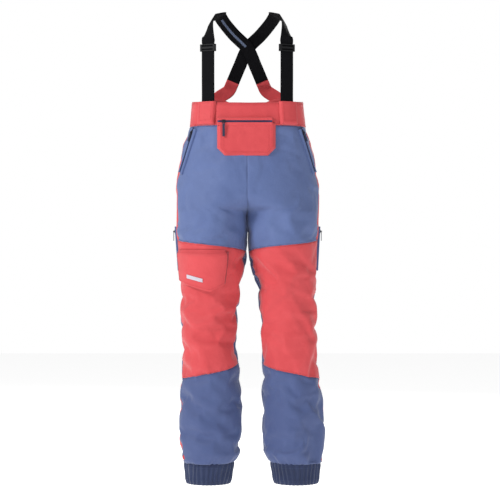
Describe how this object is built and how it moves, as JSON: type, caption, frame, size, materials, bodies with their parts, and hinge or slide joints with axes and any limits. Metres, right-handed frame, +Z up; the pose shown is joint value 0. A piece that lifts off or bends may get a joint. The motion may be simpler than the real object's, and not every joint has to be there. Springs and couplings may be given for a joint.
{
  "type": "ski pants",
  "caption": "High-waisted ski pants with crossed elastic braces, zipped pockets and thigh vents, a flapped cargo pocket and gathered cuffs.",
  "frame": {"origin": "midway between the two flat places where the braces rest on the shoulders, at strap centre height", "axes": "+Z up, +X towards the wearer's left, -Y to the front"},
  "size_m": [0.4385, 0.2816, 1.3634],
  "materials": {
    "coral_shell": "matt padded shell cloth",
    "blue_shell": "matt padded shell cloth",
    "white_elastic": "knitted elastic",
    "navy_lining": "thin woven lining",
    "navy_zip_tape": "woven tape with a nylon coil",
    "navy_pull": "soft moulded pull",
    "dark_slider": "lacquered zinc",
    "black_webbing": "ribbed elastic webbing",
    "black_buckle": "moulded acetal"
  },
  "bodies": {
    "trunk": {"front_panel_right": "blue_shell", "front_panel_left": "blue_shell", "seat_panel_right": "blue_shell", "seat_panel_left": "blue_shell", "side_panel_right": "coral_shell", "side_panel_left": "coral_shell", "bib_front": "coral_shell", "bib_back": "coral_shell", "waist_elastic": "white_elastic", "brace_front_right": "black_webbing", "brace_front_left": "black_webbing", "brace_back_right": "black_webbing", "brace_back_left": "black_webbing", "back_tab_right": "coral_shell", "back_tab_left": "coral_shell", "brace_housing_right": "coral_shell", "brace_housing_left": "coral_shell", "crossing_keeper": "black_webbing", "chest_pocket": "coral_shell", "chest_zip": "navy_zip_tape", "hand_right_zip": "navy_zip_tape", "hand_left_zip": "navy_zip_tape"},
    "thigh_right": {"upper_thigh_right": "blue_shell", "thigh_front_right": "coral_shell", "thigh_back_right": "blue_shell", "knee_front_right": "coral_shell", "knee_back_right": "blue_shell", "vent_right_zip": "navy_zip_tape", "cargo_pocket": "coral_shell"},
    "thigh_left": {"upper_thigh_left": "blue_shell", "thigh_front_left": "coral_shell", "thigh_back_left": "blue_shell", "knee_front_left": "coral_shell", "knee_back_left": "blue_shell", "vent_left_zip": "navy_zip_tape"},
    "shin_right": {"shin_front_right": "blue_shell", "calf_back_right": "blue_shell", "cuff_right": "blue_shell", "cuff_elastic_right": "white_elastic", "snow_gaiter_right": "navy_lining"},
    "shin_left": {"shin_front_left": "blue_shell", "calf_back_left": "blue_shell", "cuff_left": "blue_shell", "cuff_elastic_left": "white_elastic", "snow_gaiter_left": "navy_lining"},
    "flap": {"cargo_flap": "coral_shell"},
    "adjuster_right": {"adjuster_right": "black_buckle"},
    "adjuster_left": {"adjuster_left": "black_buckle"},
    "chest_slider": {"chest_slider": "dark_slider"},
    "chest_pull": {"chest_pull": "navy_pull"},
    "hand_right_slider": {"hand_right_slider": "dark_slider"},
    "hand_right_pull": {"hand_right_pull": "navy_pull"},
    "hand_left_slider": {"hand_left_slider": "dark_slider"},
    "hand_left_pull": {"hand_left_pull": "navy_pull"},
    "vent_right_slider": {"vent_right_slider": "dark_slider"},
    "vent_right_pull": {"vent_right_pull": "navy_pull"},
    "vent_left_slider": {"vent_left_slider": "dark_slider"},
    "vent_left_pull": {"vent_left_pull": "navy_pull"}
  },
  "joints": [
    {"name": "hip_right", "type": "hinge", "parent": "trunk", "child": "thigh_right", "pos_m": [-0.104, 0, -0.502], "axis": [-1, 0, 0], "range_deg": [-10, 40], "deforming": ["upper_thigh_right"]},
    {"name": "knee_right", "type": "hinge", "parent": "thigh_right", "child": "shin_right", "pos_m": [-0.11, 0, -0.947], "axis": [1, 0, 0], "range_deg": [0, 90], "deforming": ["knee_front_right", "knee_back_right"]},
    {"name": "hip_left", "type": "hinge", "parent": "trunk", "child": "thigh_left", "pos_m": [0.104, 0, -0.502], "axis": [-1, 0, 0], "range_deg": [-10, 40], "deforming": ["upper_thigh_left"]},
    {"name": "knee_left", "type": "hinge", "parent": "thigh_left", "child": "shin_left", "pos_m": [0.122, 0, -0.947], "axis": [1, 0, 0], "range_deg": [0, 90], "deforming": ["knee_front_left", "knee_back_left"]},
    {"name": "chest_slide", "type": "slide", "parent": "trunk", "child": "chest_slider", "axis": [1, 0, 0], "range_m": [0, 0.125]},
    {"name": "chest_pull_swing", "type": "hinge", "parent": "chest_slider", "child": "chest_pull", "pos_m": [-0.067, -0.12877, -0.313], "axis": [-1, 0, 0], "range_deg": [0, 150]},
    {"name": "hand_right_slide", "type": "slide", "parent": "trunk", "child": "hand_right_slider", "axis": [-0.2987, 0.2665, -0.9164], "range_m": [0, 0.11]},
    {"name": "hand_right_pull_swing", "type": "hinge", "parent": "hand_right_slider", "child": "hand_right_pull", "pos_m": [-0.16186, -0.0779, -0.34072], "axis": [-0.462, 0.7999, 0.3831], "range_deg": [0, 150]},
    {"name": "vent_right_slide", "type": "slide", "parent": "thigh_right", "child": "vent_right_slider", "axis": [0.0718, -0.0325, -0.9969], "range_m": [0, 0.1]},
    {"name": "vent_right_pull_swing", "type": "hinge", "parent": "vent_right_slider", "child": "vent_right_pull", "pos_m": [-0.2138, 0.00234, -0.62253], "axis": [0, 0.9995, -0.0326], "range_deg": [0, 150]},
    {"name": "hand_left_slide", "type": "slide", "parent": "trunk", "child": "hand_left_slider", "axis": [0.2987, 0.2665, -0.9164], "range_m": [0, 0.11]},
    {"name": "hand_left_pull_swing", "type": "hinge", "parent": "hand_left_slider", "child": "hand_left_pull", "pos_m": [0.16186, -0.0779, -0.34072], "axis": [-0.462, -0.7999, -0.3831], "range_deg": [0, 150]},
    {"name": "vent_left_slide", "type": "slide", "parent": "thigh_left", "child": "vent_left_slider", "axis": [-0.0522, -0.0326, -0.9981], "range_m": [0, 0.1]},
    {"name": "vent_left_pull_swing", "type": "hinge", "parent": "vent_left_slider", "child": "vent_left_pull", "pos_m": [0.21405, 0.00234, -0.62242], "axis": [0, -0.9995, 0.0326], "range_deg": [0, 150]},
    {"name": "adjuster_right_slide", "type": "slide", "parent": "trunk", "child": "adjuster_right", "axis": [0, 0, -1], "range_m": [0, 0.1]},
    {"name": "adjuster_left_slide", "type": "slide", "parent": "trunk", "child": "adjuster_left", "axis": [0, 0, -1], "range_m": [0, 0.1]},
    {"name": "flap_hinge", "type": "hinge", "parent": "thigh_right", "child": "flap", "pos_m": [-0.15171, -0.11732, -0.67511], "axis": [-0.9025, 0.4306, 0], "range_deg": [0, 100]}
  ]
}
